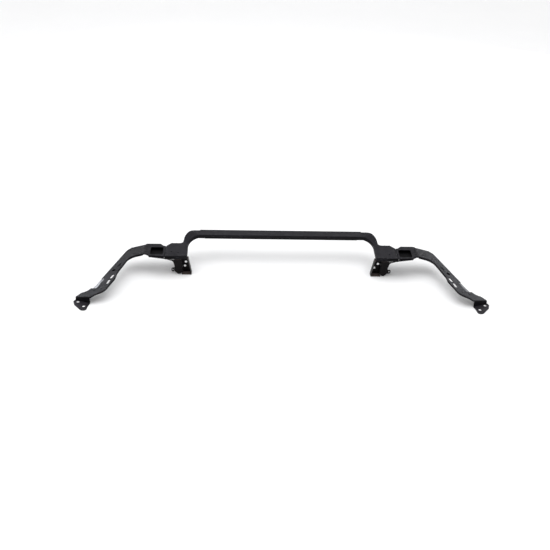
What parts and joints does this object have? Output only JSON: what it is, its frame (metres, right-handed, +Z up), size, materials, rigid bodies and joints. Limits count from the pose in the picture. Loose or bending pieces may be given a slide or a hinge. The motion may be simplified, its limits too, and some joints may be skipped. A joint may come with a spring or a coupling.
{
  "type": "radiator support tie bar",
  "caption": "Upper radiator-support tie bar: welded sheet-steel crossbar with drop corners, legs, boxed shoulders and swept arms ending in bolt flanges.",
  "frame": {"origin": "middle of the part across and along the vehicle, on the level of the undersides of the two feet and two end flanges", "axes": "+X across the vehicle along the bar, +Y towards the front of the vehicle, +Z up"},
  "size_m": [1.4392, 0.4151, 0.098],
  "materials": {
    "bar_coat": "satin",
    "deck_coat": "satin",
    "arm_coat": "satin",
    "leg_coat": "satin",
    "bracket_coat": "satin",
    "inner_coat": "satin"
  },
  "bodies": {
    "root": {"centre_bar_upper": "bar_coat", "centre_bar_lower": "inner_coat", "corner_upper_left": "deck_coat", "corner_lower_left": "inner_coat", "outer_box_upper_left": "deck_coat", "outer_box_lower_left": "inner_coat", "arm_upper_left": "arm_coat", "arm_closer_left": "inner_coat", "end_bracket_left": "bracket_coat", "leg_plate_left": "leg_coat", "leg_channel_left": "leg_coat", "leg_side_tab_left": "leg_coat", "corner_upper_right": "deck_coat", "corner_lower_right": "inner_coat", "outer_box_upper_right": "deck_coat", "outer_box_lower_right": "inner_coat", "arm_upper_right": "arm_coat", "arm_closer_right": "inner_coat", "end_bracket_right": "bracket_coat", "leg_plate_right": "leg_coat", "leg_channel_right": "leg_coat", "leg_side_tab_right": "leg_coat"}
  },
  "joints": []
}
